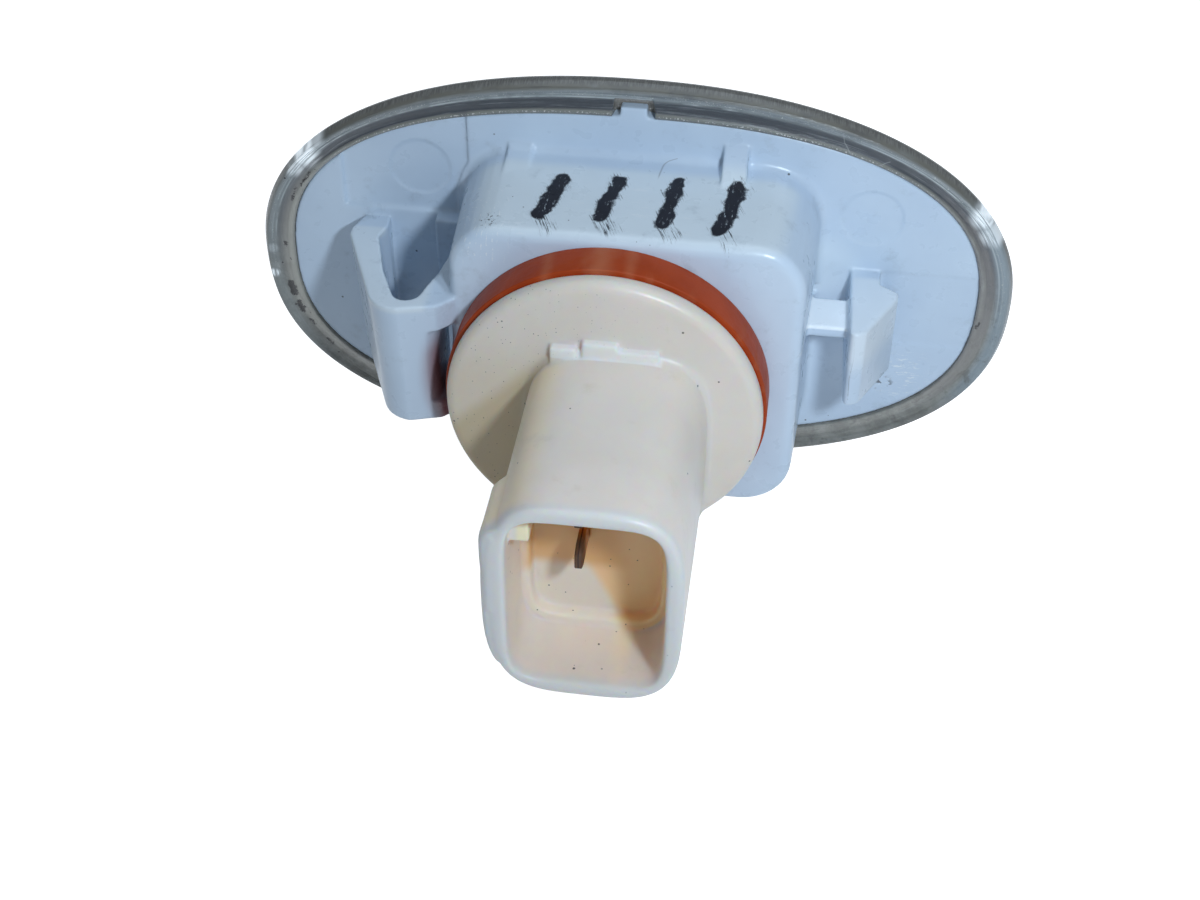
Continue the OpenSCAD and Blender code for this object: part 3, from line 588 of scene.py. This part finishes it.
def moulded(node, name, body, slot, share, cuts, fills, shape=None):
    """A copy of a CAD node with every edge and corner rounded off as the mould leaves them.

    The cuts take material off it, the fills add some and the shape moves its points before the rounding.
    Share is the part of its faces that is kept after the rounding.
    """
    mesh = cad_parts[node].data.copy()
    mesh.transform(Matrix.Scale(1 / MM, 4))
    obj = bpy.data.objects.new(name, mesh)
    bpy.context.scene.collection.objects.link(obj)
    cutters = []
    for cut in cuts:
        waste = bpy.data.meshes.new("cut")
        cut.to_mesh(waste)
        cut.free()
        cutter = bpy.data.objects.new("cut", waste)
        bpy.context.scene.collection.objects.link(cutter)
        cutters.append(cutter)
        taken = obj.modifiers.new("taken", "BOOLEAN")
        taken.operation = "DIFFERENCE"
        taken.solver = "EXACT"
        taken.object = cutter
    whole = bpy.data.meshes.new_from_object(obj.evaluated_get(bpy.context.evaluated_depsgraph_get()))
    work = bmesh.new()
    work.from_mesh(whole)
    for fill in fills:
        extra = bpy.data.meshes.new("fill")
        fill.to_mesh(extra)
        fill.free()
        work.from_mesh(extra)
    work.to_mesh(whole)
    work.free()
    for point in whole.vertices if shape else ():
        point.co = shape(point.co)
    obj.modifiers.clear()
    obj.data = whole
    for cutter in cutters:
        bpy.data.objects.remove(cutter)
    skin = obj.modifiers.new("skin", "REMESH")
    skin.mode = "VOXEL"
    skin.voxel_size = ROUNDING_GRID
    skin.use_smooth_shade = True
    smooth = obj.modifiers.new("smooth", "SMOOTH")
    smooth.iterations = ROUNDING_STEPS
    thin = obj.modifiers.new("thin", "DECIMATE")
    thin.ratio = share
    result = bpy.data.meshes.new_from_object(obj.evaluated_get(bpy.context.evaluated_depsgraph_get()))
    bpy.data.objects.remove(obj)
    result.transform(Matrix.Scale(MM, 4))
    return placed(name, result, body, slot, node)


def oval_ring(shape, depth, angles, inset=0.0, scale=1.0):
    """Points of an oval at a depth behind the rim."""
    return [[p[0], -depth, p[1]] for p in (shape.point(a, inset, scale) for a in angles)]


def between(inner, outer, share):
    """Ring part of the way from one ring to another."""
    return [[a[0] + (b[0] - a[0]) * share, a[1] + (b[1] - a[1]) * share, a[2] + (b[2] - a[2]) * share]
            for a, b in zip(inner, outer)]


def skinned(rings, closed_start=False, closed_end=False):
    """Points and faces over rings of equally many points."""
    count = len(rings[0])
    points = [p for ring in rings for p in ring]
    faces = []
    for k in range(len(rings) - 1):
        here, there = k * count, (k + 1) * count
        turn = [(i, (i + 1) % count) for i in range(count)]
        faces += [(here + i, here + j, there + j, there + i) for i, j in turn]
    for k, wanted in ((0, closed_start), (len(rings) - 1, closed_end)):
        if wanted:
            centre = [sum(p[j] for p in rings[k]) / count for j in range(3)]
            points.append(centre)
            faces += [(k * count + i, k * count + (i + 1) % count, len(points) - 1) for i in range(count)]
    return points, faces


def to_mesh(name, points, faces):
    """Smooth mesh in metres, over points in millimetres."""
    mesh = bpy.data.meshes.new(name)
    mesh.from_pydata([[c * MM for c in p] for p in points], [], faces)
    work = bmesh.new()
    work.from_mesh(mesh)
    bmesh.ops.remove_doubles(work, verts=work.verts, dist=1e-7)
    bmesh.ops.recalc_face_normals(work, faces=work.faces)
    for face in work.faces:
        face.smooth = True
    work.to_mesh(mesh)
    work.free()
    return mesh


def smoothstep(value, low, high):
    """0 at low, 1 at high, smooth between them."""
    t = min(1.0, max(0.0, (value - low) / (high - low)))
    return t * t * (3 - 2 * t)


def lens():
    """The clear lens: its rim with a groove all round, a smooth dome outside and fine flutes inside."""
    coarse = [math.radians(a * 0.9) for a in range(400)]
    at_notch = [math.radians(86 + 0.1 * i) for i in range(81)]
    angles = sorted({round(a, 6) for a in coarse if not 1.49 < a < 1.65} | {round(a, 6) for a in at_notch})
    across_rim = ((0.0, -2.2), (-0.035, -0.5), (-0.03, -0.14), (0.03, -0.02), (0.08, 0.0), (0.16, 0.0),
                  (0.23, -0.14), (0.3, -0.18), (0.66, -0.18), (0.72, -0.12), (0.79, 0.0), (0.9, 0.0),
                  (0.96, -0.06), (1.0, -0.2))
    notch_depth, notch_floor, notch_side = 1.4, 1.7, 1.95
    ledge_depth, ledge_inset = -2.2, 1.1
    dome_start, dome_rise, dome_power, dome_rings = -1.0, 6.18, 2.05, 30
    hollow_rise, hollow_rings = 2.98, 44
    flute_depth, flute_pitch = 0.28, 2.6

    def dome(index, count):
        """Size and height of a ring of a dome of height 1."""
        a = math.radians(89.5 * index / (count - 1))
        return math.cos(a) ** (2 / dome_power), math.sin(a) ** (2 / dome_power)

    rings = [oval_ring(PLATE, ledge_depth, angles, inset=ledge_inset)]
    plate, rim = oval_ring(PLATE, 0, angles), oval_ring(RIM, 0, angles)
    for share, depth in across_rim:
        ring = between(plate, rim, share)
        for p in ring:
            p[1] = -depth
            if p[2] > 0 and depth > -1 and share < 0.7:
                notch = 1 - smoothstep(abs(p[0]), notch_floor, notch_side)
                p[1] = max(p[1], notch_depth * notch * (1 - smoothstep(share, 0.5, 0.7)))
        rings.append(ring)
    rings.append(oval_ring(RIM, -0.5, angles, inset=-0.12))
    rings.append(oval_ring(LENS, -0.8, angles, inset=0.02))
    rim_rings = len(rings) + 5
    for i in range(dome_rings):
        size, height = dome(i, dome_rings)
        rings.append(oval_ring(LENS, dome_start - dome_rise * height, angles, scale=size))
    points, faces = skinned(rings, closed_end=True)
    inner = []
    for i in range(hollow_rings):
        size, height = dome(i, hollow_rings)
        ring = oval_ring(PLATE, ledge_depth - hollow_rise * height, angles, inset=ledge_inset, scale=size)
        for p in ring:
            p[1] -= flute_depth * smoothstep(i, 0, 3) * abs(math.sin(math.pi * p[0] / flute_pitch))
        inner.append(ring)
    more, inner_faces = skinned(inner, closed_end=True)
    rim_faces, outer_faces = rim_rings * len(angles), len(faces)
    faces += [tuple(i + len(points) for i in face) for face in inner_faces]
    mesh = to_mesh("lens", points + more, faces)
    obj = placed("clear_lens_moulding", mesh, "lamp", "clear_lens", "lens",
                 finishes=("clear_lens", "rim_lens", "fluted_lens"))
    for index, polygon in enumerate(mesh.polygons):
        polygon.material_index = 2 if index >= outer_faces else 1 if index < rim_faces else 0
    return obj


def gasket():
    """The sealing ring, a closed profile of radius and depth turned about the bulb axis."""
    front, rear, outer, bore, soft = 12.03, 15.43, 14.28, 8.8, 0.14
    profile = [(bore, front)]
    for turn, depth in ((-90, front + soft), (0, rear - soft)):
        for i in range(6):
            a = math.radians(turn + 18 * i)
            profile.append((outer - soft + soft * math.cos(a), depth + soft * math.sin(a)))
    profile.append((bore, rear))
    steps = 160
    turns = [2 * math.pi * i / steps for i in range(steps)]
    mid_x, mid_z = BULB_AXIS
    rings = [[[mid_x + radius * math.cos(a), -depth, mid_z + radius * math.sin(a)] for a in turns]
             for radius, depth in profile]
    points, faces = skinned(rings + rings[:1])
    return placed("gasket_ring", to_mesh("gasket_ring", points, faces), "holder", "orange_rubber",
                  "holder_gasket")


def softened(node, name, body, slot, radius):
    """A copy of a plain stamped CAD node with its edges rounded."""
    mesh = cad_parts[node].data.copy()
    work = bmesh.new()
    work.from_mesh(mesh)
    bmesh.ops.remove_doubles(work, verts=work.verts, dist=2e-6)
    bmesh.ops.dissolve_limit(work, angle_limit=math.radians(0.5), verts=work.verts, edges=work.edges)
    for face in work.faces:
        face.smooth = True
    work.to_mesh(mesh)
    work.free()
    obj = placed(name, mesh, body, slot, node)
    rounding = obj.modifiers.new("rounding", "BEVEL")
    rounding.limit_method = "ANGLE"
    rounding.angle_limit = math.radians(35)
    rounding.width = radius * MM
    rounding.segments = 2
    shading = obj.modifiers.new("shading", "WEIGHTED_NORMAL")
    shading.keep_sharp = True
    return obj


def housing():
    """The housing: the web clear of the plate, the catch's shoulder sloped and the clip's leg tapered."""
    under_web = block((16.55, -0.19, 0.6), (20.28, 2.6, 1.5))
    over_shoulder = prism([(23.1, 1.9), (24.9, 1.9), (24.9, 3.15)], -6.0, 4.0)
    beside_base = block((-18.4, -0.19, -7.6), (-18.05, 2.1, 5.3))
    behind_base = block((-18.4, 1.45, -7.6), (-15.2, 2.1, 5.3))
    web = block((16.0, 2.6, 0.9), (20.8, 7.1, 1.8))
    base_top = block((-18.05, -0.1, 4.1), (-14.2, 1.45, 6.0))
    clip_top, taper = 5.1, 0.064

    def tapered_clip(point):
        leg = smoothstep(-point.x, 17.4, 20.0) * smoothstep(-point.y, 0.3, 3.0)
        point.x += taper * max(0.0, clip_top - point.z) * leg
        return point

    moulded("housing", "housing_moulding", "lamp", "white_plastic", 0.24,
            (under_web, over_shoulder, beside_base, behind_base), (web, base_top), tapered_clip)


def bulb_holder():
    """The holder, with a squarer socket, the key in its corner and the soft swelling beside its mouth."""
    mid_x, mid_z = SOCKET_MIDDLE
    left = mid_x - SHROUD.half_length

    def hollow(*levels):
        """Solid of the socket's inside, from levels of depth, half sizes and squareness."""
        rings = []
        for depth, half_width, half_height, power in levels:
            outline = Oval(half_width, half_height, power, power)
            corners = [outline.point(math.radians(5 * i)) for i in range(72)]
            rings.append([[mid_x + x, -depth, mid_z + z] for x, z in corners])
        return solid(*rings)

    def flank(push, middle, reach):
        """X and Z down the shroud's left side, pushed outwards over a reach above and below a middle."""
        side = []
        for i in range(25):
            a = math.pi * i / 24
            z = mid_z + middle - reach * math.cos(a)
            bow = (1 - abs((z - mid_z) / SHROUD.half_height) ** SHROUD.upper) ** (1 / SHROUD.upper)
            x = mid_x - SHROUD.half_length * bow - push * math.sin(a) ** 0.8
            shoulder = smoothstep(z, -3.0, 0.6) * (1 - smoothstep(z, 0.9, 1.7))
            side.append((max(x - push * shoulder, left - push), z))
        return side

    def beside(side, depth, x_end, lift=0.0):
        """Ring at a depth, out along a side and back along an upright line."""
        return [[x - lift, -depth, z] for x, z in side] + [[x_end, -depth, z] for x, z in side[::-1]]

    recess = hollow((29.45, 5.55, 7.95, 6.5), (31.0, 5.55, 7.95, 6.5))
    mouth = hollow((30.76, 6.35, 8.75, 6.0), (37.25, 6.46, 8.86, 6.0), (37.5, 6.6, 9.0, 5.6),
                   (37.8, 6.95, 9.35, 5.0))
    flat_pad = solid(*[beside(flank(0.0, 2.4, 5.4), depth, -8.4, lift=0.01) for depth in (31.3, 37.9)])
    key = block((-5.7, 30.2, -0.55), (-3.65, 36.0, 1.9))
    key_top = block((-4.9, 30.2, 1.5), (-3.65, 36.0, 2.9))
    pushes = ((30.4, 0.0), (30.7, 0.38), (31.1, 0.56), (32.5, 0.56), (35.0, 0.58), (36.6, 0.62),
              (37.2, 0.55), (37.5, 0.3))
    swelling = solid(*[beside(flank(push, 0.2, 7.5), depth, -6.0) for depth, push in pushes])
    moulded("bulb_holder", "holder_moulding", "holder", "cream_plastic", 0.28,
            (recess, mouth, flat_pad), (key, key_top, swelling))


housing()
bulb_holder()
gasket()
lens()
softened("terminal_upper", "upper_blade", "holder", "copper_alloy", 0.1)
softened("terminal_lower", "lower_blade", "holder", "copper_alloy", 0.1)

for node, finish in (("bulb_glass", "amber_glass"), ("bulb_filament", "bulb_wire"),
                     ("bulb_lead_left", "bulb_wire"), ("bulb_lead_right", "bulb_wire")):
    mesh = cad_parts[node].data
    mesh.materials.clear()
    mesh.materials.append(FINISHES[finish])

# Stage

DAYLIGHT = (0.8, 0.93, 1.06)


def stage_material():
    """A floor that is white to the camera, pale in glass and gloss, and takes the lamp's shadow."""
    f = Finish("pale_floor", Roughness=0.9)
    f.shader.inputs["Base Color"].default_value = grey(0.9)
    path = f.tree.nodes.new("ShaderNodeLightPath")
    through, mirrored, seen = [Wire(f, path.outputs[name]) for name in
                               ("Is Transmission Ray", "Is Glossy Ray", "Is Camera Ray")]
    f.shader.inputs["Emission Color"].default_value = grey(1.0)
    f.set("Emission Strength", (through.either(mirrored) * 0.55).either(seen))
    return f.material


bpy.ops.mesh.primitive_plane_add(size=4.0, location=(0, 0, cad_box[0][2]))
floor = bpy.context.object
floor.name = "floor"
floor.data.materials.append(stage_material())

world = bpy.context.scene.world or bpy.data.worlds.new("studio")
bpy.context.scene.world = world
world.use_nodes = True
background = world.node_tree.nodes["Background"].inputs
background["Color"].default_value = DAYLIGHT + (1,)
background["Strength"].default_value = 0.18


def area_light(name, place, target, size, power):
    data = bpy.data.lights.new(name, "AREA")
    data.shape = "DISK"
    data.size = size
    data.energy = power
    data.color = DAYLIGHT
    lamp = bpy.data.objects.new(name, data)
    bpy.context.scene.collection.objects.link(lamp)
    lamp.location = place
    lamp.rotation_euler = (Vector(target) - Vector(place)).to_track_quat("-Z", "Y").to_euler()


area_light("key", place=(0.041, -0.093, 0.072), target=(0, -0.015, -0.003), size=0.011, power=0.0745)
area_light("fill", place=(0, 0.08, 0.5), target=(0, -0.01, 0), size=0.4, power=0.5)

# Camera

azimuth, elevation, roll = math.radians(7.369), math.radians(40.346), math.radians(0.497)
flat = math.cos(elevation)
back = Vector((math.sin(azimuth) * flat, -math.cos(azimuth) * flat, math.sin(elevation)))
right = Vector((math.cos(azimuth), math.sin(azimuth), 0))
up = back.cross(right)
right, up = right * math.cos(roll) + up * math.sin(roll), up * math.cos(roll) - right * math.sin(roll)
data = bpy.data.cameras.new("camera")
data.lens = 54.0
data.sensor_width = 36.0
data.clip_start = 0.005
camera = bpy.data.objects.new("camera", data)
bpy.context.scene.collection.objects.link(camera)
camera.matrix_world = Matrix((right, up, back)).transposed().to_4x4()
camera.location = (15.17 * MM, -138.14 * MM, 97.24 * MM)
bpy.context.scene.camera = camera
bpy.context.scene.view_settings.view_transform = "Standard"
